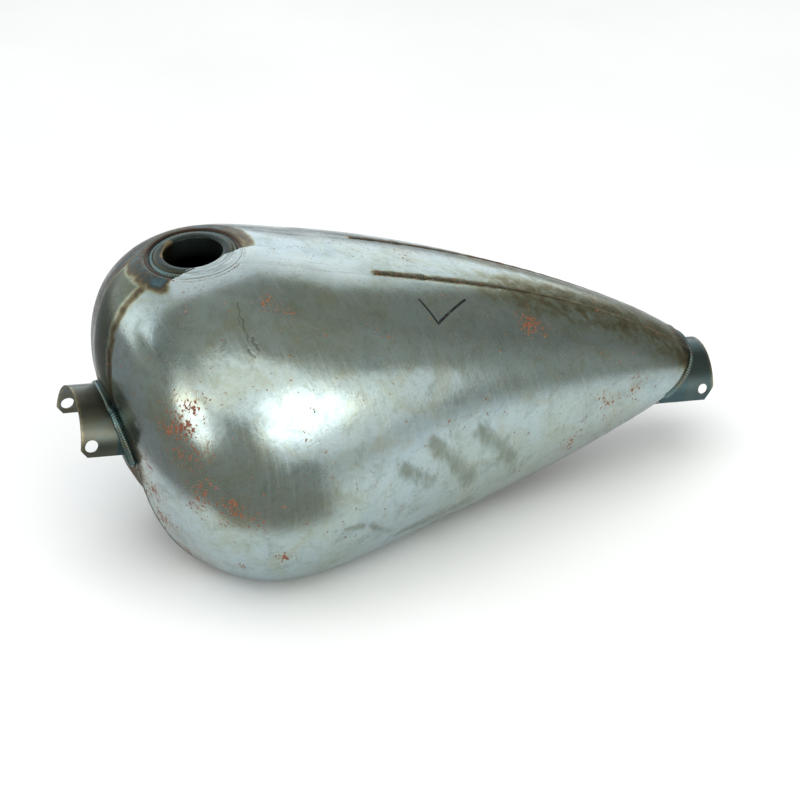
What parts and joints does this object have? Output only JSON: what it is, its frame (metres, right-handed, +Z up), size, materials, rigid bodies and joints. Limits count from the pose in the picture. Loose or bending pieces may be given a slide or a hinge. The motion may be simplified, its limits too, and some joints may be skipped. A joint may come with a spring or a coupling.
{
  "type": "motorcycle fuel tank",
  "caption": "Bare welded steel teardrop fuel tank with a tunnel for the frame's top tube, a half-round saddle at each end and an open filler neck on top.",
  "frame": {"origin": "on the floor that the lobes' undersides rest on, under the middle of the tank's length and width", "axes": "+X back towards the seat, -X towards the steering head, -Y the rider's left, +Z up"},
  "size_m": [0.6341, 0.3142, 0.3058],
  "materials": {
    "raw_steel": "satin, bare drawn sheet with light rust specks and handling marks",
    "heat_darkened_steel": "satin, olive-brown heat tint",
    "heat_blued_steel": "satin, blue-green heat tint",
    "saddle_plate": "satin, dark plate with brown edges",
    "weld_bead": "rippled bead with blue and straw heat tint",
    "ground_weld": "ground nearly flush, brown at the edges",
    "tunnel_steel": "dull, unfinished inside of the sheet"
  },
  "bodies": {
    "root": {"left_side_shell": "raw_steel", "right_side_shell": "raw_steel", "top_strip": "raw_steel", "nose_strip": "heat_darkened_steel", "left_nose_seam_weld": "ground_weld", "right_nose_seam_weld": "ground_weld", "left_top_seam_weld": "ground_weld", "right_top_seam_weld": "ground_weld", "filler_neck": "heat_blued_steel", "filler_neck_weld": "weld_bead", "filler_dish": "heat_blued_steel", "filler_dish_weld": "weld_bead", "tunnel_channel": "tunnel_steel", "left_bottom_pan": "raw_steel", "right_bottom_pan": "raw_steel", "left_pan_weld": "weld_bead", "right_pan_weld": "weld_bead", "front_saddle": "saddle_plate", "rear_saddle": "saddle_plate", "front_saddle_weld": "weld_bead", "rear_saddle_weld": "weld_bead", "petcock_bung": "tunnel_steel", "left_crossover_nipple": "tunnel_steel", "right_crossover_nipple": "tunnel_steel"}
  },
  "joints": []
}
